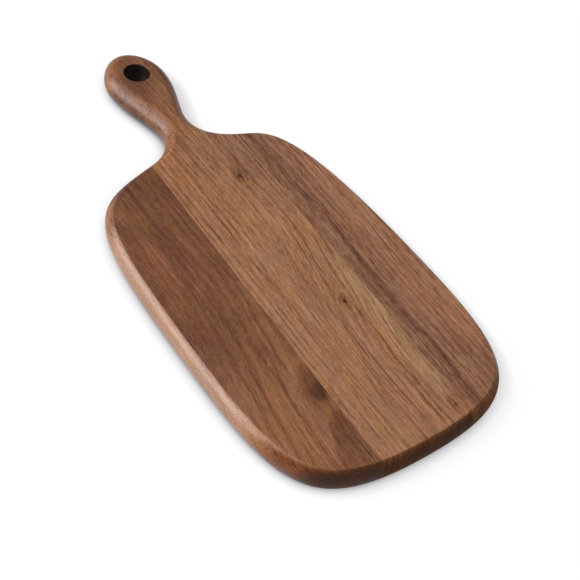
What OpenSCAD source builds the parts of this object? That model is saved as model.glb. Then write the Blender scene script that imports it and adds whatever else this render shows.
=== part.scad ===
// Paddle board for serving: three walnut staves glued edge to edge, with a
// handle that is cut from the middle one and drilled for hanging.
// Millimetres. The origin lies under the middle of the board, +Y points to
// the tip of the handle and +Z points up from the table.

/* [Panel] */
// Thickness of the glued panel
board_thickness = 19; // [15:0.5:24]
// Length from the near end to the tip of the handle
overall_length = 387; // [370:1:410]
// Width of the middle stave
centre_stave_width = 71; // [64:0.5:80]
// Distance of the left seam from the middle of the board
left_seam_offset = 30; // [26:0.5:36]
// Angle of the seams to the length of the board, in degrees
seam_lean = 1.35; // [0:0.05:3]
// Thickness of the cured glue in a seam
glue_thickness = 0.1; // [0.05:0.05:0.3]

/* [Body outline] */
// Widest width of the body
body_width = 183; // [165:1:200]
// Distance of the widest place from the near end
widest_from_near_end = 102; // [85:1:120]
// Distance of the shoulder points from the near end
shoulder_from_near_end = 277; // [265:1:285]
// Distance of the right shoulder point from the middle of the board
right_shoulder_out = 47; // [42:0.5:52]
// Slope of the outline at the right shoulder point, in degrees
right_shoulder_slope = 21.5; // [15:0.5:28]
// Distance of the left shoulder point from the middle of the board
left_shoulder_out = 26; // [20:0.5:32]
// Slope of the outline at the left shoulder point, in degrees
left_shoulder_slope = 17; // [10:0.5:24]

/* [Handle outline] */
// Distance of the handle's centre line to the right of the middle
handle_offset = 12; // [4:0.5:18]
// Widest width of the handle
handle_width = 46; // [42:0.5:54]
// Distance of the handle's widest place from the tip
handle_widest_from_tip = 28.5; // [25:0.5:34]
// Width between the two neck points
neck_width = 26; // [24:0.5:30]
// Distance of the right neck point from the tip
right_neck_from_tip = 70; // [66:0.5:74]
// Lean of the outline at the right neck point, in degrees
right_neck_lean = 18; // [8:0.5:26]
// Distance of the left neck point from the tip
left_neck_from_tip = 81; // [76:0.5:86]

/* [Edge profile] */
// How far the middle of the body's edge stands out past its two arrises
body_edge_bulge = 5; // [3:0.25:7]
// Distance from the tip at which the body's edge starts to turn full round
rounding_starts_from_tip = 114; // [105:1:125]
// Distance from the tip at which the edge is full round
rounding_full_from_tip = 80; // [70:1:90]
// Flat kept along the neck between its two rounded edges
neck_flat = 5; // [3:0.5:8]

/* [Hanging hole] */
// Diameter of the drilled hole
hole_diameter = 19; // [14:0.5:22]
// Distance of the hole's centre from the tip
hole_from_tip = 27; // [24:0.5:32]

/* [Hidden] */
// Steps round each of the ten curves of the outline, tip and near end alike
curve_steps = [14, 16, 10, 10, 12, 12, 10, 10, 16, 14];
// Steps from the lower face to the upper face round the edge
edge_steps = 10;
// How far a cutting body runs past what it cuts
overrun = 1;

half_thickness = board_thickness / 2;
near_end_y = -overall_length / 2;
tip_y = overall_length / 2;
left_seam = -left_seam_offset;
right_seam = left_seam + centre_stave_width;

// Where the outline's curves meet, counter-clockwise from the near end: the
// place and the heading, in degrees from +X.
outline_joints = [
    [0, near_end_y, 0],
    [body_width / 2, near_end_y + widest_from_near_end, 90],
    [right_shoulder_out, near_end_y + shoulder_from_near_end, 180 - right_shoulder_slope],
    [handle_offset + neck_width / 2, tip_y - right_neck_from_tip, 90 - right_neck_lean],
    [handle_offset + handle_width / 2, tip_y - handle_widest_from_tip, 90],
    [handle_offset, tip_y, 180],
    [handle_offset - handle_width / 2, tip_y - handle_widest_from_tip, 270],
    [handle_offset - neck_width / 2, tip_y - left_neck_from_tip, 270],
    [-left_shoulder_out, near_end_y + shoulder_from_near_end, 180 + left_shoulder_slope],
    [-body_width / 2, near_end_y + widest_from_near_end, 270]
];

// How far each curve keeps the heading of its first and of its last joint, as
// shares of the distance between the two joints.
reach_shares = [
    [0.55, 0.61],
    [0.92, 0.13],
    [0.55, 0.38],
    [0.51, 0.37],
    [0.40, 0.35],
    [0.35, 0.37],
    [0.36, 0.21],
    [0.35, 0.43],
    [0.32, 0.85],
    [0.61, 0.55]
];

function place(joint) = [joint[0], joint[1]];
function along(heading) = [cos(heading), sin(heading)];

// The four control points of one curve of the outline.
function curve_controls(index) =
    let (
        first = outline_joints[index],
        last = outline_joints[(index + 1) % len(outline_joints)],
        chord = norm(place(last) - place(first)),
        leave = chord * reach_shares[index][0],
        arrive = chord * reach_shares[index][1]
    )
    [
        place(first),
        place(first) + leave * along(first[2]),
        place(last) - arrive * along(last[2]),
        place(last)
    ];

// Place on a cubic curve at a share of the way along it.
function curve_place(c, share) =
    pow(1 - share, 3) * c[0]
    + 3 * share * pow(1 - share, 2) * c[1]
    + 3 * pow(share, 2) * (1 - share) * c[2]
    + pow(share, 3) * c[3];

// Direction of a cubic curve at a share of the way along it.
function curve_direction(c, share) =
    let (
        slope = pow(1 - share, 2) * (c[1] - c[0])
            + 2 * share * (1 - share) * (c[2] - c[1])
            + pow(share, 2) * (c[3] - c[2])
    )
    slope / norm(slope);

// The outline's stations, each a place and the direction out of the wood.
stations = [
    for (index = [0 : len(outline_joints) - 1])
        let (controls = curve_controls(index))
        for (step = [0 : curve_steps[index] - 1])
            let (
                share = step / curve_steps[index],
                direction = curve_direction(controls, share)
            )
            [curve_place(controls, share), [direction[1], -direction[0]]]
];
station_count = len(stations);
tip_station = station_count / 2;

// How far the edge bulges at a place: little round the body, full round on
// the handle, and a smooth change between.
handle_edge_bulge = min(half_thickness, (neck_width - neck_flat) / 2);
function edge_bulge(y) =
    let (
        run = rounding_starts_from_tip - rounding_full_from_tip,
        way = (y - tip_y + rounding_starts_from_tip) / run,
        share = min(1, max(0, way)),
        smooth_share = pow(share, 2) * (3 - 2 * share)
    )
    body_edge_bulge + (handle_edge_bulge - body_edge_bulge) * smooth_share;

// One point of the edge: an arc from the lower face to the upper face.
function edge_point(station, step) =
    let (
        bulge = edge_bulge(station[0][1]),
        radius = (pow(half_thickness, 2) + pow(bulge, 2)) / (2 * bulge),
        half_sweep = asin(min(1, half_thickness / radius)),
        turn = half_sweep * (2 * step / edge_steps - 1),
        inset = radius * (1 - cos(turn)),
        rim = station[0] - inset * station[1],
        height = step == 0 ? 0
            : step == edge_steps ? board_thickness
            : half_thickness + radius * sin(turn)
    )
    [rim[0], rim[1], height];

function ring_index(step, station) = step * station_count + station % station_count;

// Two triangles of the edge between neighbouring stations and steps.
function edge_faces(step, station) =
    let (
        low = ring_index(step, station),
        low_next = ring_index(step, station + 1),
        high = ring_index(step + 1, station),
        high_next = ring_index(step + 1, station + 1)
    )
    [[low, high, high_next], [low, high_next, low_next]];

// Rungs across a face, from the near end up to the tip.
function face_rungs(step) = [
    [ring_index(step, 0), ring_index(step, station_count - 1), ring_index(step, 1)],
    for (rung = [1 : tip_station - 2]) [
        ring_index(step, rung),
        ring_index(step, station_count - rung),
        ring_index(step, station_count - rung - 1),
        ring_index(step, rung + 1)
    ],
    [ring_index(step, tip_station - 1), ring_index(step, tip_station + 1), ring_index(step, tip_station)]
];

function reversed(face) = [for (index = [len(face) - 1 : -1 : 0]) face[index]];

// The whole paddle, shaped all round its edge, before the seams divide it.
module paddle() {
    points = [
        for (step = [0 : edge_steps])
            for (station = stations)
                edge_point(station, step)
    ];
    sides = [
        for (step = [0 : edge_steps - 1])
            for (station = [0 : station_count - 1])
                each edge_faces(step, station)
    ];
    underside = [for (rung = face_rungs(0)) reversed(rung)];
    polyhedron(points = points, faces = concat(sides, underside, face_rungs(edge_steps)));
}

// The part of the paddle between two lines that run along the seams.
module paddle_between(left, right) {
    intersection() {
        paddle();
        rotate([0, 0, -seam_lean])
            translate([left, -overall_length, -overrun])
                cube([right - left, 2 * overall_length, board_thickness + 2 * overrun]);
    }
}

module left_stave() {
    color("#6b4632")
        paddle_between(-body_width, left_seam - glue_thickness / 2);
}

module centre_stave() {
    color("#8a6044")
        difference() {
            paddle_between(left_seam + glue_thickness / 2, right_seam - glue_thickness / 2);
            translate([handle_offset, tip_y - hole_from_tip, -overrun])
                cylinder(d = hole_diameter, h = board_thickness + 2 * overrun, $fn = 96);
        }
}

module right_stave() {
    color("#775240")
        paddle_between(right_seam + glue_thickness / 2, body_width);
}

module glue_line_left() {
    color("#3d2718")
        paddle_between(left_seam - glue_thickness / 2, left_seam + glue_thickness / 2);
}

module glue_line_right() {
    color("#3d2718")
        paddle_between(right_seam - glue_thickness / 2, right_seam + glue_thickness / 2);
}

left_stave();
centre_stave();
right_stave();
glue_line_left();
glue_line_right();
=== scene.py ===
import math

import bmesh
import bpy
from mathutils import Matrix, Vector


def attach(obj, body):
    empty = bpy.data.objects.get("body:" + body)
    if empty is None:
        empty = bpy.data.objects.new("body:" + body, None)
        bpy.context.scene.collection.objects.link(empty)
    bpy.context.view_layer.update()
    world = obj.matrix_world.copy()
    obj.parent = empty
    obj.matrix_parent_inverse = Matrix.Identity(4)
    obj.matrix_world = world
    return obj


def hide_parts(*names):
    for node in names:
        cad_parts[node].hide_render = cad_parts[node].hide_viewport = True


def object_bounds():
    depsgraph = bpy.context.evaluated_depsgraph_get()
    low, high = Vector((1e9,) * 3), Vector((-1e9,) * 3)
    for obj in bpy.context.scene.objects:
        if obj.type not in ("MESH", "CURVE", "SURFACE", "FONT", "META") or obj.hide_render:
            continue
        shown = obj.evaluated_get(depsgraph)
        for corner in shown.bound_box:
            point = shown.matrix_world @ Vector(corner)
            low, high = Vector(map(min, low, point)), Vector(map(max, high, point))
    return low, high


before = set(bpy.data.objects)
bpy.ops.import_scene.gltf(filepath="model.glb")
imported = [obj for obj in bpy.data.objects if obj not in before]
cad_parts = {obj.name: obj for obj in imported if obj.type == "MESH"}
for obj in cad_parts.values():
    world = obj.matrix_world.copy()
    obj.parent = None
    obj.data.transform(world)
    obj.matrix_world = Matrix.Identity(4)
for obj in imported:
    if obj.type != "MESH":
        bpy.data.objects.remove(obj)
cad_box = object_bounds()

# A paddle board for serving: three walnut staves glued edge to edge. Lengths
# are written in millimetres, in the frame of the CAD model, and turned into
# metres where the meshes, the lamps and the camera are made.

MM = 0.001

# Driving sizes, as in the part's source

cad_low, cad_high = cad_box
BOARD_THICKNESS = (cad_high.z - cad_low.z) / MM
OVERALL_LENGTH = (cad_high.y - cad_low.y) / MM
BODY_WIDTH = (cad_high.x - cad_low.x) / MM
CENTRE_STAVE_WIDTH = 71
LEFT_SEAM_OFFSET = 30
SEAM_LEAN = math.radians(1.35)
GLUE_THICKNESS = 0.1

WIDEST_FROM_NEAR_END = 102
SHOULDER_FROM_NEAR_END = 277
RIGHT_SHOULDER_OUT = 47
RIGHT_SHOULDER_SLOPE = 21.5
LEFT_SHOULDER_OUT = 26
LEFT_SHOULDER_SLOPE = 17

HANDLE_OFFSET = 12
HANDLE_WIDTH = 46
HANDLE_WIDEST_FROM_TIP = 28.5
NECK_WIDTH = 26
RIGHT_NECK_FROM_TIP = 70
RIGHT_NECK_LEAN = 18
LEFT_NECK_FROM_TIP = 81

BODY_EDGE_BULGE = 5
ROUNDING_STARTS_FROM_TIP = 114
ROUNDING_FULL_FROM_TIP = 80
NECK_FLAT = 5

HOLE_DIAMETER = 19
HOLE_FROM_TIP = 27

# Finish that is too fine for the CAD model

ARRIS_RADIUS = 1.2
NECK_ARRIS_RADIUS = 5
EASING_STARTS_FROM_TIP = 122
EASING_FULL_FROM_TIP = 92
HOLE_RIM_RADIUS = 0.5
STEPS_PER_CURVE = 48
ARC_STEPS = 28
EASE_STEPS = 5
HOLE_STEPS = 128
RIM_STEPS = 6
LEAST_EDGE = 0.01
SHARP_ANGLE = math.radians(40)

HALF_THICKNESS = BOARD_THICKNESS / 2
NEAR_END_Y = -OVERALL_LENGTH / 2
TIP_Y = OVERALL_LENGTH / 2
HANDLE_EDGE_BULGE = min(HALF_THICKNESS, (NECK_WIDTH - NECK_FLAT) / 2)
SEAMS = (-LEFT_SEAM_OFFSET, CENTRE_STAVE_WIDTH - LEFT_SEAM_OFFSET)

# Where the outline's curves meet, counter-clockwise from the near end: place
# and heading, in degrees from +X
OUTLINE_JOINTS = (
    (0, NEAR_END_Y, 0),
    (BODY_WIDTH / 2, NEAR_END_Y + WIDEST_FROM_NEAR_END, 90),
    (RIGHT_SHOULDER_OUT, NEAR_END_Y + SHOULDER_FROM_NEAR_END, 180 - RIGHT_SHOULDER_SLOPE),
    (HANDLE_OFFSET + NECK_WIDTH / 2, TIP_Y - RIGHT_NECK_FROM_TIP, 90 - RIGHT_NECK_LEAN),
    (HANDLE_OFFSET + HANDLE_WIDTH / 2, TIP_Y - HANDLE_WIDEST_FROM_TIP, 90),
    (HANDLE_OFFSET, TIP_Y, 180),
    (HANDLE_OFFSET - HANDLE_WIDTH / 2, TIP_Y - HANDLE_WIDEST_FROM_TIP, 270),
    (HANDLE_OFFSET - NECK_WIDTH / 2, TIP_Y - LEFT_NECK_FROM_TIP, 270),
    (-LEFT_SHOULDER_OUT, NEAR_END_Y + SHOULDER_FROM_NEAR_END, 180 + LEFT_SHOULDER_SLOPE),
    (-BODY_WIDTH / 2, NEAR_END_Y + WIDEST_FROM_NEAR_END, 270),
)

# How far each curve keeps the heading of its first and of its last joint, as
# shares of the distance between the two
REACH_SHARES = (
    (0.55, 0.61),
    (0.92, 0.13),
    (0.55, 0.38),
    (0.51, 0.37),
    (0.40, 0.35),
    (0.35, 0.37),
    (0.36, 0.21),
    (0.35, 0.43),
    (0.32, 0.85),
    (0.61, 0.55),
)


def smooth_share(share):
    """0 to 1 with level ends, held outside them."""
    share = min(1, max(0, share))
    return share * share * (3 - 2 * share)


def curve_controls(index):
    """The four control points of one curve of the outline."""
    first = OUTLINE_JOINTS[index]
    last = OUTLINE_JOINTS[(index + 1) % len(OUTLINE_JOINTS)]
    start, end = Vector(first[:2]), Vector(last[:2])
    chord = (end - start).length
    leave, arrive = (chord * share for share in REACH_SHARES[index])
    out = Vector((math.cos(math.radians(first[2])), math.sin(math.radians(first[2]))))
    into = Vector((math.cos(math.radians(last[2])), math.sin(math.radians(last[2]))))
    return start, start + leave * out, end - arrive * into, end


def outline_stations():
    """Places round the outline, each with the direction out of the wood."""
    stations = []
    for index in range(len(OUTLINE_JOINTS)):
        a, b, c, d = curve_controls(index)
        for step in range(STEPS_PER_CURVE):
            t = step / STEPS_PER_CURVE
            s = 1 - t
            place = s**3 * a + 3 * t * s**2 * b + 3 * t**2 * s * c + t**3 * d
            way = (s**2 * (b - a) + 2 * t * s * (c - b) + t**2 * (d - c)).normalized()
            stations.append((place, Vector((way.y, -way.x))))
    return stations


def edge_bulge(y):
    """How far the middle of the edge stands out past its arrises at a place."""
    run = ROUNDING_STARTS_FROM_TIP - ROUNDING_FULL_FROM_TIP
    share = smooth_share((y - TIP_Y + ROUNDING_STARTS_FROM_TIP) / run)
    return BODY_EDGE_BULGE + (HANDLE_EDGE_BULGE - BODY_EDGE_BULGE) * share


def arris_radius(y):
    """Radius of the eased arrises: small round the body, and growing at the neck
    until they fade into the handle's full round."""
    run = EASING_STARTS_FROM_TIP - EASING_FULL_FROM_TIP
    share = smooth_share((y - TIP_Y + EASING_STARTS_FROM_TIP) / run)
    return ARRIS_RADIUS + (NECK_ARRIS_RADIUS - ARRIS_RADIUS) * share


def edge_profile(y):
    """Inset and height round the edge, from the lower face to the upper: an arc
    whose two arrises are eased by a small round."""
    bulge = edge_bulge(y)
    eased = arris_radius(y)
    radius = (HALF_THICKNESS**2 + bulge**2) / (2 * bulge)
    ease_height = HALF_THICKNESS - eased
    ease_inset = radius - math.sqrt(max(0, (radius - eased) ** 2 - ease_height**2))
    arc_ends = math.asin(min(1, ease_height / (radius - eased)))
    upper_ease = []
    for step in range(EASE_STEPS, 0, -1):
        turn = arc_ends + (math.pi / 2 - arc_ends) * step / EASE_STEPS
        inset = ease_inset - eased * math.cos(turn)
        upper_ease.append((inset, ease_height + eased * math.sin(turn)))
    arc = []
    for step in range(ARC_STEPS + 1):
        turn = arc_ends * (1 - 2 * step / ARC_STEPS)
        arc.append((radius * (1 - math.cos(turn)), radius * math.sin(turn)))
    rows = upper_ease + arc + [(inset, -height) for inset, height in reversed(upper_ease)]
    return [(inset, HALF_THICKNESS + height) for inset, height in reversed(rows)]


def paddle_mesh():
    """The whole paddle as one closed bmesh in millimetres."""
    stations = outline_stations()
    count = len(stations)
    bm = bmesh.new()
    rings = [[] for _ in range(ARC_STEPS + 2 * EASE_STEPS + 1)]
    for place, out in stations:
        for ring, (inset, height) in zip(rings, edge_profile(place.y)):
            rim = place - inset * out
            ring.append(bm.verts.new((rim.x, rim.y, height)))
    for low, high in zip(rings, rings[1:]):
        for i in range(count):
            j = (i + 1) % count
            bm.faces.new((low[i], low[j], high[j], high[i]))
    tip = count // 2
    for ring, upward in ((rings[-1], True), (rings[0], False)):
        rungs = [(ring[0], ring[1], ring[-1])]
        rungs += [(ring[i], ring[i + 1], ring[-i - 1], ring[-i]) for i in range(1, tip - 1)]
        rungs.append((ring[tip - 1], ring[tip], ring[tip + 1]))
        for rung in rungs:
            bm.faces.new(rung if upward else rung[::-1])
    bmesh.ops.remove_doubles(bm, verts=bm.verts, dist=LEAST_EDGE)
    return bm


def cut_along_seam(bm, offset, keep_right):
    """Cuts the mesh along a line parallel to the seams, and closes the cut."""
    across = Vector((math.cos(SEAM_LEAN), -math.sin(SEAM_LEAN), 0))
    bmesh.ops.bisect_plane(
        bm,
        geom=bm.verts[:] + bm.edges[:] + bm.faces[:],
        plane_co=across * offset,
        plane_no=across,
        clear_inner=keep_right,
        clear_outer=not keep_right,
    )
    rim = [edge for edge in bm.edges if edge.is_boundary]
    filled = bmesh.ops.edgenet_fill(bm, edges=rim)["faces"]
    bmesh.ops.triangulate(bm, faces=filled)


def new_object(name, bm):
    """An object made of the bmesh, which is in millimetres and is used up."""
    bmesh.ops.scale(bm, vec=(MM, MM, MM), verts=bm.verts)
    bmesh.ops.recalc_face_normals(bm, faces=bm.faces)
    mesh = bpy.data.meshes.new(name)
    bm.to_mesh(mesh)
    bm.free()
    obj = bpy.data.objects.new(name, mesh)
    bpy.context.collection.objects.link(obj)
    return obj


def hole_plug():
    """The air in the hanging hole, flared where the wood's two rims are eased."""
    half_turn = math.pi / 2
    radius = HOLE_DIAMETER / 2
    flare = radius + HOLE_RIM_RADIUS
    rim = []
    for step in range(RIM_STEPS + 1):
        turn = half_turn * step / RIM_STEPS
        depth = HOLE_RIM_RADIUS * (1 - math.sin(turn))
        rim.append((flare - HOLE_RIM_RADIUS * math.cos(turn), depth))
    profile = [(flare, -HOLE_RIM_RADIUS)]
    profile += [(r, depth) for r, depth in reversed(rim)]
    profile += [(r, BOARD_THICKNESS - depth) for r, depth in rim]
    profile.append((flare, BOARD_THICKNESS + HOLE_RIM_RADIUS))
    bm = bmesh.new()
    rings = []
    for r, z in profile:
        ring = []
        for i in range(HOLE_STEPS):
            turn = 2 * math.pi * i / HOLE_STEPS
            x = HANDLE_OFFSET + r * math.cos(turn)
            y = TIP_Y - HOLE_FROM_TIP + r * math.sin(turn)
            ring.append(bm.verts.new((x, y, z)))
        rings.append(ring)
    for low, high in zip(rings, rings[1:]):
        for i in range(HOLE_STEPS):
            j = (i + 1) % HOLE_STEPS
            bm.faces.new((low[i], low[j], high[j], high[i]))
    bm.faces.new(rings[0][::-1])
    bm.faces.new(rings[-1])
    return new_object("hole_plug", bm)


def finish_mesh(obj):
    """Smooth shading that keeps the cuts crisp and the faces flat, baked in."""
    obj.data.shade_smooth()
    obj.data.set_sharp_from_angle(angle=SHARP_ANGLE)
    weighted = obj.modifiers.new("flat faces lead", "WEIGHTED_NORMAL")
    weighted.keep_sharp = True
    bake_modifiers(obj)


def bake_modifiers(obj):
    """Replaces the object's mesh by the one that its modifiers make."""
    bpy.context.view_layer.update()
    graph = bpy.context.evaluated_depsgraph_get()
    made = bpy.data.meshes.new_from_object(
        obj.evaluated_get(graph), preserve_all_data_layers=True, depsgraph=graph
    )
    obj.modifiers.clear()
    obj.data = made
    made.name = obj.name


def slab(name, left, right):
    """The part of the paddle between two lines that run along the seams."""
    bm = paddle_mesh()
    if left is not None:
        cut_along_seam(bm, left, keep_right=True)
    if right is not None:
        cut_along_seam(bm, right, keep_right=False)
    return new_object(name, bm)


def make_pieces():
    """The five pieces of the board, keyed by the CAD node that each replaces."""
    half_glue = GLUE_THICKNESS / 2
    left_seam, right_seam = SEAMS
    pieces = {
        "left_stave": slab("walnut_stave_left", None, left_seam - half_glue),
        "centre_stave": slab("walnut_stave_centre", left_seam + half_glue, right_seam - half_glue),
        "right_stave": slab("walnut_stave_right", right_seam + half_glue, None),
        "glue_line_left": slab("glue_seam_left", left_seam - half_glue, left_seam + half_glue),
        "glue_line_right": slab("glue_seam_right", right_seam - half_glue, right_seam + half_glue),
    }
    plug = hole_plug()
    drill = pieces["centre_stave"].modifiers.new("drill", "BOOLEAN")
    drill.operation = "DIFFERENCE"
    drill.solver = "EXACT"
    drill.object = plug
    bake_modifiers(pieces["centre_stave"])
    bpy.data.objects.remove(plug)
    for piece in pieces.values():
        finish_mesh(piece)
    return pieces


NOISE_MIDDLE = 0.5
NOISE_GAIN = 3.2
TRAIL_FADE_SHARE = 0.35


class Term:
    """A socket of a material that plain arithmetic works on."""

    def __init__(self, graph, socket):
        self.graph = graph
        self.socket = socket

    def __add__(self, other):
        return self.graph.math("ADD", self, other)

    def __sub__(self, other):
        return self.graph.math("SUBTRACT", self, other)

    def __rsub__(self, other):
        return self.graph.math("SUBTRACT", other, self)

    def __mul__(self, other):
        return self.graph.math("MULTIPLY", self, other)

    def __truediv__(self, other):
        return self.graph.math("DIVIDE", self, other)

    def __abs__(self):
        return self.graph.math("ABSOLUTE", self)


class Graph:
    """The nodes of one material."""

    def __init__(self, name):
        self.material = bpy.data.materials.new(name)
        self.material.use_nodes = True
        self.tree = self.material.node_tree
        self.tree.nodes.clear()

    def node(self, kind, inputs=None, **settings):
        made = self.tree.nodes.new(kind)
        for key, value in settings.items():
            setattr(made, key, value)
        for key, value in (inputs or {}).items():
            self.feed(made.inputs[key], value)
        return made

    def feed(self, socket, value):
        if isinstance(value, Term):
            self.tree.links.new(value.socket, socket)
        else:
            socket.default_value = value

    def math(self, operation, *values):
        made = self.node("ShaderNodeMath", operation=operation)
        for socket, value in zip(made.inputs, values):
            self.feed(socket, value)
        return Term(self, made.outputs[0])

    def vector(self, x, y, z):
        made = self.node("ShaderNodeCombineXYZ", {"X": x, "Y": y, "Z": z})
        return Term(self, made.outputs[0])

    def place(self):
        """The three coordinates of the board's frame, in millimetres."""
        made = self.node("ShaderNodeTexCoord")
        return [part * (1 / MM) for part in self.split_vector(Term(self, made.outputs["Object"]))]

    def facing(self):
        """The direction that the surface faces in the board's frame, as three
        coordinates."""
        made = self.node("ShaderNodeTexCoord")
        return self.split_vector(Term(self, made.outputs["Normal"]))

    def split_vector(self, vector):
        made = self.node("ShaderNodeSeparateXYZ", {0: vector})
        return [Term(self, output) for output in made.outputs]

    def split(self, colour):
        made = self.node("ShaderNodeSeparateColor", {0: colour})
        return [Term(self, output) for output in made.outputs[:3]]

    def join(self, red, green, blue):
        made = self.node("ShaderNodeCombineColor", {0: red, 1: green, 2: blue})
        return Term(self, made.outputs[0])

    def chance(self, number):
        """A number from 0 to 1 that is as good as random, the same for the same
        number."""
        made = self.node("ShaderNodeTexWhiteNoise", {"W": number}, noise_dimensions="1D")
        return Term(self, made.outputs["Value"])

    def waves(self, place, lengths, shifts=(0, 0, 0), detail=2.0, roughness=0.5):
        """Smooth noise about 0, mostly between -1 and 1. Its waves have these
        lengths, in millimetres, along the three coordinates of the place, and are
        moved on by the shifts, which are counted in waves."""
        counted = [
            part / length + shift if shift else part / length
            for part, length, shift in zip(place, lengths, shifts)
        ]
        made = self.node(
            "ShaderNodeTexNoise",
            {"Vector": self.vector(*counted), "Scale": 1.0, "Detail": detail,
             "Roughness": roughness},
        )
        return (Term(self, made.outputs[0]) - NOISE_MIDDLE) * NOISE_GAIN

    def ease(self, value, low, high, out_low=0.0, out_high=1.0):
        """From out_low to out_high, smoothly, as the value goes from low to high."""
        made = self.node(
            "ShaderNodeMapRange",
            {"Value": value, "From Min": low, "From Max": high, "To Min": out_low,
             "To Max": out_high},
            interpolation_type="SMOOTHSTEP",
        )
        return Term(self, made.outputs[0])

    def band(self, value, middle, half_width):
        """1 at the middle, and 0 from half_width away on."""
        return self.ease(abs(value - middle), 0.0, half_width, 1.0, 0.0)

    def window(self, value, low, high, soft):
        """1 between low and high, with ends that fade over soft."""
        middle, half = (low + high) / 2, (high - low) / 2
        return self.ease(abs(value - middle), half - soft / 2, half + soft / 2, 1.0, 0.0)

    def spot(self, x, y, centre, reach, turn=0.0):
        """1 in the middle of an ellipse, and 0 from its rim on."""
        across, along = math.cos(math.radians(turn)), math.sin(math.radians(turn))
        dx, dy = x - centre[0], y - centre[1]
        u = (dx * across + dy * along) * (1 / reach[0])
        v = (dy * across - dx * along) * (1 / reach[1])
        return self.ease(u * u + v * v, 0.0, 1.0, 1.0, 0.0)

    def patches(self, x, y, table):
        """The sum of soft spots, listed with their centre, reach and amount."""
        total = 0.0
        for centre, reach, amount in table:
            total = self.spot(x, y, centre, reach) * amount + total
        return total

    def trail(self, x, y, path, half_width):
        """1 along a grain line through the places of path, which are listed from
        the near end up, and 0 from half_width away on."""
        middle = path[0][0]
        for (x0, y0), (x1, y1) in zip(path, path[1:]):
            made = self.node(
                "ShaderNodeMapRange",
                {"Value": y, "From Min": y0, "From Max": y1, "To Min": 0.0, "To Max": x1 - x0},
            )
            middle = Term(self, made.outputs[0]) + middle
        first_y, last_y = path[0][1], path[-1][1]
        fade = (last_y - first_y) * TRAIL_FADE_SHARE
        return self.band(x - middle, 0.0, half_width) * self.window(y, first_y, last_y, fade)

    def tinted(self, colour, tint):
        """The product of two colours."""
        made = self.node(
            "ShaderNodeMix", {0: 1.0, 6: colour, 7: tint}, data_type="RGBA", blend_type="MULTIPLY"
        )
        return Term(self, made.outputs[2])

    def ramp(self, value, stops):
        made = self.node("ShaderNodeValToRGB", {0: value})
        marks = made.color_ramp.elements
        while len(marks) < len(stops):
            marks.new(0.5)
        for mark, (position, colour) in zip(marks, stops):
            mark.position = position
            mark.color = colour
        return Term(self, made.outputs[0])

    def surface(self, colour, roughness, relief, strength, depth, ior):
        """Ends the material: its colour and roughness, and a fine relief whose
        depth is in millimetres."""
        bump = self.node(
            "ShaderNodeBump", {"Strength": strength, "Distance": depth * MM, "Height": relief}
        )
        shader = self.node(
            "ShaderNodeBsdfPrincipled",
            {"Base Color": colour, "Roughness": roughness, "IOR": ior,
             "Normal": Term(self, bump.outputs[0])},
        )
        self.node("ShaderNodeOutputMaterial", {"Surface": Term(self, shader.outputs[0])})


def rgb(red, green, blue):
    """A colour written in the usual 0 to 255 steps, as linear light."""
    def linear(level):
        level = level / 255
        return level / 12.92 if level <= 0.04045 else ((level + 0.055) / 1.055) ** 2.4
    return linear(red), linear(green), linear(blue), 1.0


# How much each scale of the figure lightens the wood, lifts its surface and
# dulls its gloss
TONE_WEIGHTS = {"broad": 0.05, "middle": 0.055, "mottle": 0.085, "fleck": 0.1}
FINE_WEIGHTS = {"fibre": 0.16, "strand": 0.19, "pores": -0.08, "veins": -0.14}
RELIEF_WEIGHTS = {"fibre": 0.3, "strand": 0.35, "fleck": 0.2, "pores": -0.8, "lines": -0.3}
ROUGHNESS_WEIGHTS = {"pores": 0.2, "fibre": 0.04, "fleck": 0.05, "end_grain": 0.4}
MIDDLE_TONE = 0.565

# What end grain hides of the fine figure and of the lines, and its hue
END_HIDES_FINE = 0.75
END_HIDES_LINES = 0.6
END_WARMTH = 3.2
END_ROSE = 0.7

# How far the hue wanders, and what one step of it does to red, green and blue
HUE_WARMTH = 1.5
BLUSH_ROSE = 0.6
WARMTH_IN_RED = 0.03
WARMTH_IN_BLUE = 0.14
ROSE_IN_RED = 0.06
ROSE_IN_GREEN = 0.055

RELIEF_STRENGTH = 0.7
RELIEF_DEPTH = 0.1
OIL_IOR = 1.46
DEPTH_PER_SEED = 7

# How far the surface faces up where the edge starts and is full, and how far it
# faces along the board where end grain starts and is full
EDGE_FACING = (0.9, 0.6)
END_FACING = (0.35, 0.8)

# Shares of a growth ring at which its late wood starts and is darkest, and how
# far the strength of a ring's line is left to chance
LATE_WOOD_STARTS = 0.35
LATE_WOOD_PEAKS = 0.93
LEAST_VIGOUR = 0.25
CHANCE_OF_VIGOUR = 0.9

# Knots: reaches in sizes of the knot, and amounts
KNOT_PULL_REACH = (4, 6)
KNOT_PULL = 0.4
KNOT_CORE = 0.34
KNOT_HALO_REACH = 3.6
KNOT_HALO = 0.15


def weighted(parts, weights):
    """The sum of the named parts, each times its weight."""
    total = 0.0
    for name, weight in weights.items():
        total = parts[name] * weight + total
    return total


def growth_lines(graph, grown, ring_width, gaps):
    """The dark late wood of the growth rings, of which each has its own strength
    and which thin out where gaps is low."""
    rings = grown[0] / ring_width + graph.waves(grown, (9, 140, 30)) * 0.6
    age = graph.math("FRACT", rings)
    vigour = graph.chance(graph.math("FLOOR", rings))
    rise = graph.ease(age, LATE_WOOD_STARTS, LATE_WOOD_PEAKS)
    late = rise * graph.ease(age, LATE_WOOD_PEAKS, 1.0, 1.0, 0.0)
    strength = vigour * CHANCE_OF_VIGOUR + LEAST_VIGOUR
    return late * late * strength * graph.ease(gaps, -1.0, 0.2, 0.4, 1.0)


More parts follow.
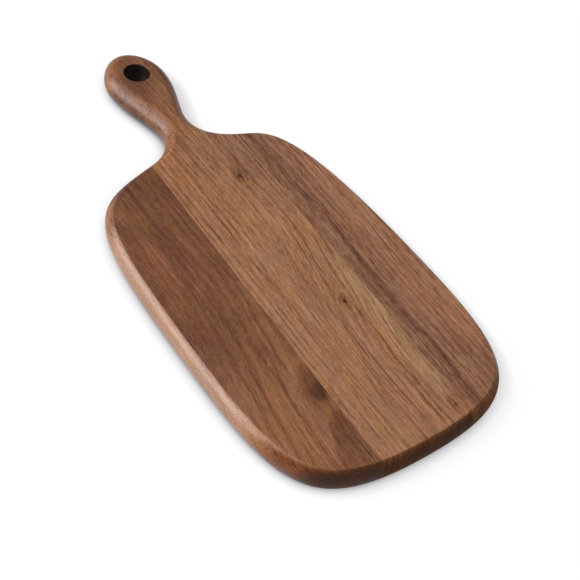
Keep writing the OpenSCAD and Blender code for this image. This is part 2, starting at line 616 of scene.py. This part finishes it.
def walnut(name, figure, tones, seed):
    """Oiled walnut. figure(graph, place, drift, side) gives what one stave has at
    places of its own: the layer that a place lies in, and shifts in tone and in
    hue. Side is 0 on the two faces and 1 round the edge."""
    graph = Graph(name)
    place = x, y, z = graph.place()
    facing = graph.facing()
    side = graph.ease(abs(facing[2]), *EDGE_FACING)
    end_grain = graph.ease(abs(facing[1]), *END_FACING)
    drift = graph.waves(place, (30, 80, 30), (0, 0, seed))
    shiver = graph.waves(place, (4, 9, 9), (0, 0, seed), roughness=0.6)
    jitter = graph.waves(place, (1.6, 2.4, 2), detail=1.0)
    own = figure(graph, place, drift, side)
    layer = own["layer"] + drift + shiver * 0.3 + jitter * 0.1
    depth = z + seed * DEPTH_PER_SEED
    plain, grown = (x, y, depth), (layer, y, depth)

    cloud = graph.waves(plain, (14, 22, 20), (0, seed, 0), detail=3.0)
    pore_place = graph.waves(grown, (0.7, 5, 0.7), (0, 0, 40), detail=1.0)
    vein_place = graph.waves(grown, (2.6, 90, 10), (0, seed, 5), roughness=0.4)
    gaps = graph.waves(grown, (3, 50, 9), (0, 3, 0), detail=1.0)
    parts = {
        "broad": graph.waves(grown, (15, 150, 40)),
        "middle": graph.waves(grown, (3.6, 60, 18), (0, seed, 0)),
        "mottle": graph.waves(grown, (2.6, 5, 4), (0, seed, 0), detail=3.0, roughness=0.6),
        "fleck": graph.waves(plain, (1.2, 1.6, 1.4), (0, seed, 0), roughness=0.6),
        "fibre": graph.waves(grown, (1.1, 36, 1.1), roughness=0.6),
        "strand": graph.waves(grown, (0.55, 9, 0.55), (0, seed, 0), detail=1.0, roughness=0.6),
        "pores": graph.ease(pore_place, 0.3, 0.9),
        "veins": graph.ease(abs(vein_place), 0.0, 0.16, 1.0, 0.0) * graph.ease(gaps, -0.8, 0.5),
        "lines": growth_lines(graph, grown, own["ring"], gaps),
        "end_grain": end_grain,
    }
    fine = weighted(parts, FINE_WEIGHTS) * own["fine"]
    tone = (
        weighted(parts, TONE_WEIGHTS) + cloud * own["cloud"]
        + fine * (1.0 - end_grain * END_HIDES_FINE)
        - parts["lines"] * own["lines"] * (1.0 - end_grain * END_HIDES_LINES)
        - end_grain * own["end"] + own["tone"] + MIDDLE_TONE
    )

    hue = graph.waves(grown, (9, 45, 12), (0, seed, 0))
    blush = graph.waves(grown, (8, 50, 12), (0, 0, 9))
    warm = own["warm"] + end_grain * END_WARMTH + hue * HUE_WARMTH
    rosy = blush * BLUSH_ROSE + own["rosy"] + end_grain * END_ROSE
    red, green, blue = graph.split(graph.ramp(tone, tones))
    colour = graph.join(
        red * (rosy * ROSE_IN_RED + warm * WARMTH_IN_RED + 1.0),
        green * (1.0 - rosy * ROSE_IN_GREEN),
        blue * (1.0 - warm * WARMTH_IN_BLUE),
    )

    graph.surface(
        colour,
        roughness=weighted(parts, ROUGHNESS_WEIGHTS) + own["rough"],
        relief=weighted(parts, RELIEF_WEIGHTS),
        strength=RELIEF_STRENGTH,
        depth=RELIEF_DEPTH,
        ior=OIL_IOR,
    )
    return graph.material


def pin_knot(graph, x, y, layer, tone, centre, size, strength):
    """A small dark knot that the growth lines bend round: the new layer, tone."""
    dx, dy = x - centre[0], y - centre[1]
    pull_reach = [reach * size for reach in KNOT_PULL_REACH]
    pull = graph.spot(x, y, centre, pull_reach)
    layer = layer - dx * pull * KNOT_PULL
    core = graph.ease(dx * dx + dy * dy * 0.7, 0.0, size**2, 1.0, 0.0)
    halo_reach = KNOT_HALO_REACH * size
    halo = graph.ease(dx * dx + dy * dy * 0.5, 0.0, halo_reach**2, 1.0, 0.0)
    return layer, tone - (core * KNOT_CORE + halo * KNOT_HALO) * strength


def grain_lines(graph, x, y, drawn):
    """The dark lines of a stave, listed one by one: path, half width, depth."""
    total = 0.0
    for path, half_width, strength in drawn:
        total = graph.trail(x, y, path, half_width) * strength + total
    return total


def near_rim_shade(graph, place, side):
    """1 on the upper half of the near end's edge, where painted shade darkens the wood."""
    return side * graph.ease(place[1], -165, -185) * graph.ease(place[2], 7, 15)


# The left stave: dark lines, patches that are lighter or darker, patches that
# are rosier, the reach of the pale edge (lighter wood with a painted sheen) with
# its fade, and the knot's two parts with their centre, reach and turn

LEFT_LINES = (
    (((-46.5, 30), (-46, 52), (-47, 78)), 1.4, 0.13),
    (((-55, 20), (-55.5, 45), (-54, 75)), 1.2, 0.10),
    (((-72, 12), (-72, 28), (-70, 44)), 1.2, 0.11),
    (((-68, -122), (-66, -100), (-64, -78)), 1.0, 0.12),
    (((-59, -170), (-56, -130), (-52.5, -86)), 1.1, 0.14),
    (((-75, -130), (-73, -105), (-72, -80)), 1.0, 0.10),
    (((-46, -110), (-43, -85), (-40, -62)), 1.1, 0.12),
    (((-64, -165), (-63, -140), (-60, -118)), 0.9, 0.12),
)
LEFT_PATCHES = (
    ((-76, 36), (11, 20), -0.07),
    ((-42, 27), (12, 12), -0.05),
    ((-48, 60), (22, 26), -0.09),
    ((-41, -82), (9, 24), 0.08),
    ((-62, -90), (7, 20), 0.05),
    ((-34, -58), (8, 34), 0.07),
    ((-57, -36), (7, 22), 0.05),
    ((-62, 60), (7, 9), 0.04),
    ((-54, 13), (9, 32), -0.07),
    ((-70, -2), (14, 26), 0.06),
    ((-74, -66), (8, 14), -0.04),
)
LEFT_BLUSHES = (
    ((-68, -4), (20, 38), 0.9),
    ((-72, -58), (12, 20), 0.7),
    ((-44, -6), (14, 50), 0.4),
)
PALE_EDGE = (-137, 36, 36)
KNOT_SHADOW = ((-38, -124), (11, 20), -20)
KNOT_MIDDLE = ((-35, -130), (9, 9), -30)


def left_figure(graph, place, drift, side):
    """Dark in its upper half and warmer below, with a knot against the seam.
    Its edge is paler and cooler along the middle of the board, lighter wood with a
    painted sheen, and reddish at both ends, darker towards the near end with
    painted shade."""
    x, y, z = place
    wander = graph.waves(place, (16, 24, 20), (0, 0, 31))
    ripple = graph.waves(place, (7, 6, 9), (0, 0, 3))
    wx, wy = x + drift * 2 + wander * 2, y + drift * 4 + wander * 4
    along = graph.window(y, *PALE_EDGE)
    # Paler, cooler edge along the middle: lighter wood plus a painted sheen on the lamp-lit side.
    pale_wood_and_sheen = side * along * graph.ease(x, -60, -75)
    # Reddish edge at both ends, darkened towards the near end by painted shade.
    red_ends_and_shade = side * (1.0 - along) * graph.ease(y, -172, -188, 1.0, 0.0)
    knot_shadow = graph.spot(x + wander, y + wander * 2, *KNOT_SHADOW)
    knot_core = graph.spot(x + wander, y + wander, *KNOT_MIDDLE)
    corner = graph.window(wx - wy * 0.43, 20, 80, 5) * graph.window(wy, -220, -144, 10)
    tone = (
        graph.patches(wx, wy, LEFT_PATCHES) + graph.ease(wy, -85, -125, -0.07, 0.1)
        - knot_shadow * 0.22 - knot_core * 0.24 - corner * 0.2 * (1.0 - side)
        + pale_wood_and_sheen * (wander * 0.06 + graph.ease(y, -80, -130, 0.37, 0.22))
        - red_ends_and_shade * graph.ease(y, 20, -100, -0.06, 0.25)
        # Painted shade on the upper half of the near end's edge.
        - near_rim_shade(graph, place, side) * 0.1
        - grain_lines(graph, x + wander * 0.7 + ripple * 0.35, y, LEFT_LINES)
    )
    warm = (
        graph.ease(wy, -90, -125, 0.4, 0.8)
        + graph.spot(wx, wy, (-47, 64), (10, 20)) * 0.5
        + red_ends_and_shade * 3.6 - pale_wood_and_sheen * 2.3
    )
    rosy = graph.patches(wx, wy, LEFT_BLUSHES) + red_ends_and_shade * 0.8 - pale_wood_and_sheen * 0.5
    return {
        "layer": x + z * 0.6 + graph.ease(y, -20, -180, 0.0, 20.0),
        "tone": tone,
        "warm": warm,
        "rosy": rosy,
        "ring": 7.0,
        "lines": 0.12,
        "cloud": 0.06,
        "end": 0.4,
        "rough": side * -0.1 + 0.37,
        "fine": graph.ease(y, -90, -120, 0.6, 0.85) - knot_shadow * 0.5,
    }


# The centre stave: dark lines, patches, knots with their place, size and
# strength, and the rosy patch on the handle with its centre, reach and turn

CENTRE_LINES = (
    (((22, 47), (27, 55), (30, 62), (32, 70), (33, 82)), 1.6, 0.11),
    (((21, 18), (22, 30), (21.5, 40)), 0.9, 0.09),
    (((25, -80), (27.5, -55.5), (34, -27)), 1.2, 0.15),
    (((21, -60), (21.5, -44), (21, -28)), 1.0, 0.13),
    (((15, -44), (18, -26), (18.75, -9)), 1.0, 0.13),
    (((3.75, -118), (8, -84), (12.5, -48)), 1.0, 0.15),
    (((22.3, -124), (23, -105), (22.3, -86)), 1.0, 0.14),
    (((12.5, -122), (14.5, -105), (15.6, -89)), 1.0, 0.13),
    (((5, -122), (6.5, -100), (7, -80)), 1.0, 0.12),
    (((-16.5, -100), (-15.5, -65), (-14.5, -30)), 1.0, 0.15),
    (((13, 2), (14.2, 20), (13, 42)), 1.0, 0.12),
    (((-10.5, -5), (-9.5, 18), (-10.5, 44)), 1.0, 0.12),
    (((-2.5, 18), (-1.5, 29), (-2, 42)), 0.9, 0.11),
    (((-4, -24), (-3.5, -2), (-4.5, 20)), 0.9, 0.11),
    (((-9, 60), (-8.5, 71), (-9, 82)), 1.1, 0.11),
    (((38.5, 18), (39.2, 33), (38.6, 50)), 1.1, 0.12),
    (((20, -178), (21.5, -150), (25, -126)), 0.9, 0.12),
    (((-8, -178), (-6, -150), (-2, -122)), 0.9, 0.11),
    (((9, -182), (11, -155), (14, -130)), 0.9, 0.12),
)
CENTRE_PATCHES = (
    ((19, 12), (6, 20), -0.04),
    ((38.5, -18), (6, 24), 0.08),
    ((20, -30), (10, 36), 0.04),
)
CENTRE_KNOTS = (
    ((21, 44), 1.8, 0.75),
    ((19, -80.5), 1.9, 1.0),
    ((31.5, -178), 1.8, 0.6),
)
HANDLE_PATCH = ((-3, 131), (8, 18), -12)


def drilled_wall(graph, x, y):
    """1 on the wall of the hanging hole, and 0 from its eased rims on."""
    dx, dy = x - HANDLE_OFFSET, y - (TIP_Y - HOLE_FROM_TIP)
    from_axis = graph.math("SQRT", dx * dx + dy * dy)
    rim = HOLE_DIAMETER / 2 + HOLE_RIM_RADIUS
    return graph.ease(from_axis, rim - HOLE_RIM_RADIUS * 0.8, rim, 1.0, 0.0)


def centre_figure(graph, place, drift, side):
    """The lightest stave: wavy lines that lean in its lower half, two pin knots
    and a golden strip along the right seam. Its handle is darker, with painted
    shade on the left flank that faces the lamps, deepest low on it, and the wall
    of the hole is darker: oil-soaked end grain plus painted shade in the hole."""
    x, y, z = place
    lean = graph.ease(y, 5, -140) * graph.ease(x, -24, 14, 3.0, 20.0)
    layer = x - z * 0.5 + lean
    wander = graph.waves(place, (12, 26, 20), (0, 0, 17))
    ripple = graph.waves(place, (7, 6, 9), (0, 0, 11))
    wx, wy = x + drift + wander, y + drift * 4 + wander * 5
    strip = graph.ease(wx, 19, 32) * graph.window(wy, -165, -38, 40)
    grey = graph.window(wx, 25, 52, 8) * graph.window(wy, 35, 95, 16)
    tan = graph.ease(wx, 14, -20) * graph.ease(wy, -20, 50)
    patch = graph.spot(x + z * 0.6, y, *HANDLE_PATCH)
    neck = side * graph.ease(y, 76, 90) * graph.ease(x, 8, 0)
    # The handle's left flank, which faces the lamps; painted shade darkens it, more towards its
    # bottom.
    flank = graph.ease(x, 15, 4) * graph.window(y, 84, 166, 14)
    far_flank = side * graph.ease(x, 10, 18) * graph.ease(y, 95, 115)
    # The wall of the hole: darker oil-soaked end grain plus painted shade in the hole.
    bore_dark_and_shade = drilled_wall(graph, x, y)
    tone = (
        graph.patches(wx, wy, CENTRE_PATCHES) + strip * 0.09
        - graph.ease(wy, 0, 60, 0.0, 0.02)
        - graph.ease(wy, 85, 130, 0.0, 0.1)
        - graph.ease(wy, 135, 160, 0.0, 0.1)
        - grey * 0.07 - patch * 0.1 - bore_dark_and_shade * 0.5
        # Painted shade on the handle's left flank, deepest low on it.
        - flank * (side * 0.08 + 0.07) - flank * graph.ease(z, 10, 4) * 0.1
        # Painted shade on the upper half of the near end's edge.
        + far_flank * 0.1 - near_rim_shade(graph, place, side) * 0.04
        - grain_lines(graph, x + wander * 0.5 + ripple * 0.4, y, CENTRE_LINES)
    )
    for centre, size, strength in CENTRE_KNOTS:
        layer, tone = pin_knot(graph, x, y, layer, tone, centre, size, strength)
    return {
        "layer": layer,
        "tone": tone,
        "warm": tan * 0.6 - strip * 0.2 - grey * 0.8 + neck * 1.6 + bore_dark_and_shade * 3.0 + 0.25,
        "rosy": tan * 0.3 - strip * 0.8 - grey * 0.3 + patch * 1.2 + bore_dark_and_shade + 0.2,
        "ring": 4.6,
        "lines": 0.17,
        "cloud": 0.035,
        "end": graph.ease(y, 60, 110, 0.35, 0.08),
        "rough": flank * side * -0.1 + 0.4,
        "fine": graph.ease(y, 80, 120, 0.9, 0.6),
    }


# The right stave: dark streaks, and bands along the seam with their reach
# across, their reach along and their amount

RIGHT_STREAKS = (
    (((45.5, -210), (49.2, -60), (53.5, -15), (50, 20), (49, 120)), 4.4, 0.16),
    (((58.5, -145), (59.5, -90), (60, -25)), 3.6, 0.13),
)
RIGHT_BANDS = (
    ((54, 66, 8), (-20, 60, 20), -0.05),
    ((63, 69, 6), (-90, 40, 30), -0.06),
    ((77, 83, 5), (-130, -45, 20), -0.06),
)


def right_figure(graph, place, drift, side):
    """Grey along the seam, with two dark streaks, and pinkish beyond it."""
    x, y, z = place
    across = x - y * math.tan(SEAM_LEAN)
    wander = graph.waves(place, (12, 40, 20), (0, 0, 5))
    from_seam = across + drift * 1.2 + wander * 1.2
    grey = graph.window(from_seam, 30, 57.5, 12) * graph.ease(y, -110, -160, 1.0, 0.3)
    streaks = grain_lines(graph, x + drift + wander, y, RIGHT_STREAKS)
    upper = graph.ease(y + wander * 6, 25, 60)
    tone = (
        grey * -0.12 - streaks
        - upper * graph.window(from_seam, 62, 75, 8) * 0.08
        - graph.spot(from_seam, y, (53, 70), (7, 16)) * 0.06
        - graph.ease(y, -118, -150) * 0.06
    )
    for reach_across, reach_along, amount in RIGHT_BANDS:
        band = graph.window(from_seam, *reach_across) * graph.window(y, *reach_along)
        tone = band * amount + tone
    return {
        "layer": across + z * 0.7,
        "tone": tone,
        "warm": grey * -0.5 - 0.6 - streaks * 2.5 - upper * 0.7,
        "rosy": 0.35 - grey * 0.2,
        "ring": 5.0,
        "lines": 0.12,
        "cloud": 0.04,
        "end": 0.06,
        "rough": 0.4,
        "fine": 0.95,
    }


PALE_TONES = (
    (0.0, rgb(34, 20, 13)),
    (0.12, rgb(74, 43, 27)),
    (0.35, rgb(122, 80, 53)),
    (0.5, rgb(147, 103, 72)),
    (0.65, rgb(167, 122, 88)),
    (1.0, rgb(200, 156, 117)),
)
DARK_TONES = (
    (0.0, rgb(50, 28, 17)),
    (0.12, rgb(64, 37, 24)),
    (0.35, rgb(98, 59, 38)),
    (0.5, rgb(120, 77, 51)),
    (0.65, rgb(141, 95, 66)),
    (1.0, rgb(174, 126, 91)),
)
GLUE_TONES = ((0.0, rgb(58, 38, 26)), (1.0, rgb(92, 62, 42)))
GLUE_IOR = 1.5


def cured_glue():
    """A thin line of cured glue, darkened by the oil."""
    graph = Graph("cured_glue_dark")
    mottle = graph.waves(graph.place(), (2, 3, 2))
    graph.surface(
        graph.ramp(mottle * 0.25 + 0.5, GLUE_TONES),
        roughness=mottle * 0.05 + 0.5,
        relief=mottle,
        strength=0.2,
        depth=0.02,
        ior=GLUE_IOR,
    )
    return graph.material


def dress(pieces):
    """Gives each piece its material and its body, and hides the CAD node that it stands for."""
    glue = cured_glue()
    finishes = {
        "left_stave": (walnut("walnut_dark", left_figure, DARK_TONES, 1.3), "walnut_dark"),
        "centre_stave": (walnut("walnut_light", centre_figure, PALE_TONES, 4.1), "walnut_light"),
        "right_stave": (walnut("walnut_grey", right_figure, PALE_TONES, 8.7), "walnut_grey"),
        "glue_line_left": (glue, "cured_glue"),
        "glue_line_right": (glue, "cured_glue"),
    }
    for node, piece in pieces.items():
        material, slot = finishes[node]
        piece.data.materials.clear()
        piece.data.materials.append(material)
        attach(piece, "root")
        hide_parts(node)


def any_seen_ray(graph):
    """1 for rays that show the floor, straight or in a gloss, and 0 for light."""
    rays = graph.node("ShaderNodeLightPath")
    seen = Term(graph, rays.outputs["Is Camera Ray"])
    for name in ("Is Glossy Ray", "Is Transmission Ray"):
        seen = graph.math("MAXIMUM", seen, Term(graph, rays.outputs[name]))
    return seen


# The floor, and the reach and tones of the shadow painted on it

FLOOR_REACH = 30000
FLOOR_DROP = 0.05
SHADOW_SAMPLES = 8
CONTACT_REACH = 14
CAST_REACH = 17
CAST_WAY = (-0.8, -0.45, 0.35)
FLOOR_GLOW = 0.92
FLOOR_PALE = rgb(92, 92, 92)
CONTACT_TONES = (
    (0.0, rgb(8, 8, 9)),
    (0.2, rgb(150, 150, 152)),
    (0.35, rgb(212, 212, 214)),
    (0.5, rgb(234, 234, 235)),
    (0.6, rgb(247, 247, 248)),
    (0.75, rgb(255, 255, 255)),
)
CAST_TONES = (
    (0.5, rgb(204, 204, 206)),
    (0.75, rgb(230, 230, 231)),
    (0.9, rgb(250, 250, 250)),
    (1.0, rgb(255, 255, 255)),
)


def make_floor():
    """A plain white floor that sends little light back up under the board. It
    shows the board's soft shadow, painted into its colour from ambient occlusion
    as well as cast by the lamps: darkest where they meet, and reaching furthest
    on the side away from the window."""
    bm = bmesh.new()
    corners = [bm.verts.new((sx * FLOOR_REACH, sy * FLOOR_REACH, -FLOOR_DROP))
               for sx, sy in ((-1, -1), (1, -1), (1, 1), (-1, 1))]
    bm.faces.new(corners)
    floor = new_object("floor", bm)
    graph = Graph("floor_white")
    seen = any_seen_ray(graph)
    near = graph.node(
        "ShaderNodeAmbientOcclusion", {"Distance": CONTACT_REACH * MM}, samples=SHADOW_SAMPLES
    )
    contact = graph.ramp(Term(graph, near.outputs["AO"]), CONTACT_TONES)
    way = graph.node("ShaderNodeVectorMath", {0: CAST_WAY}, operation="NORMALIZE")
    beside = graph.node(
        "ShaderNodeAmbientOcclusion",
        {"Distance": CAST_REACH * MM, "Normal": Term(graph, way.outputs[0])},
        samples=SHADOW_SAMPLES,
    )
    cast = graph.ramp(Term(graph, beside.outputs["AO"]), CAST_TONES)
    # Painted shadow: the two occlusion tones multiplied into the floor's colour.
    shade = graph.tinted(contact, cast)
    lit = graph.node("ShaderNodeBsdfDiffuse", {"Color": graph.tinted(shade, FLOOR_PALE)})
    glow = graph.node("ShaderNodeEmission", {"Color": shade, "Strength": seen * FLOOR_GLOW})
    shown = graph.node(
        "ShaderNodeAddShader", {0: Term(graph, lit.outputs[0]), 1: Term(graph, glow.outputs[0])}
    )
    graph.node("ShaderNodeOutputMaterial", {"Surface": Term(graph, shown.outputs[0])})
    floor.data.materials.append(graph.material)


# Each lamp's azimuth from +X, elevation, width and height, in degrees seen from
# the board, and its power in watts

LAMPS = {
    "low_window": (147, 20, 48, 38, 288),
    "high_window": (148, 62, 50, 44, 160),
}
LAMP_DISTANCE = 5000
ROOM_COLOUR = (1.0, 0.98, 0.96, 1.0)
ROOM_LEVEL = 0.2


def softbox(name, azimuth, elevation, width, height, power):
    """A soft rectangular lamp that faces the board."""
    light = bpy.data.lights.new(name, "AREA")
    light.shape = "RECTANGLE"
    light.size = 2 * LAMP_DISTANCE * MM * math.tan(math.radians(width / 2))
    light.size_y = 2 * LAMP_DISTANCE * MM * math.tan(math.radians(height / 2))
    light.energy = power
    lamp = bpy.data.objects.new(name, light)
    level = math.cos(math.radians(elevation))
    way = Vector((
        math.cos(math.radians(azimuth)) * level,
        math.sin(math.radians(azimuth)) * level,
        math.sin(math.radians(elevation)),
    ))
    lamp.location = way * LAMP_DISTANCE * MM
    lamp.rotation_mode = "QUATERNION"
    lamp.rotation_quaternion = way.to_track_quat("Z", "Y")
    lamp.visible_camera = False
    bpy.context.collection.objects.link(lamp)


def make_light():
    """A low window at the far left, a high one above it, and a dim room."""
    for name, settings in LAMPS.items():
        softbox(name, *settings)
    world = bpy.data.worlds.new("room")
    world.use_nodes = True
    background = world.node_tree.nodes["Background"]
    background.inputs["Color"].default_value = ROOM_COLOUR
    background.inputs["Strength"].default_value = ROOM_LEVEL
    bpy.context.scene.world = world


CAMERA_TARGET = (-1.2, -50.7, 9.5)
CAMERA_AZIMUTH = math.radians(-45.47)
CAMERA_ELEVATION = math.radians(48.81)
CAMERA_ROLL = math.radians(13.49)
CAMERA_DISTANCE = 770.7
CAMERA_LENS = 74.05
CAMERA_SENSOR = 36


def make_camera():
    """The photograph's camera, above the board's near left corner."""
    level = math.cos(CAMERA_ELEVATION)
    back = Vector((
        math.sin(CAMERA_AZIMUTH) * level,
        -math.cos(CAMERA_AZIMUTH) * level,
        math.sin(CAMERA_ELEVATION),
    ))
    data = bpy.data.cameras.new("camera")
    data.lens = CAMERA_LENS
    data.sensor_width = CAMERA_SENSOR
    camera = bpy.data.objects.new("camera", data)
    right = (-back).cross(Vector((0, 0, 1))).normalized()
    up = right.cross(-back)
    turn = Matrix((right, up, back)).transposed() @ Matrix.Rotation(CAMERA_ROLL, 3, "Z")
    camera.matrix_world = (
        Matrix.Translation((Vector(CAMERA_TARGET) + back * CAMERA_DISTANCE) * MM) @ turn.to_4x4()
    )
    bpy.context.collection.objects.link(camera)
    bpy.context.scene.camera = camera


make_camera()
dress(make_pieces())
make_floor()
make_light()
bpy.context.scene.view_settings.view_transform = "Standard"
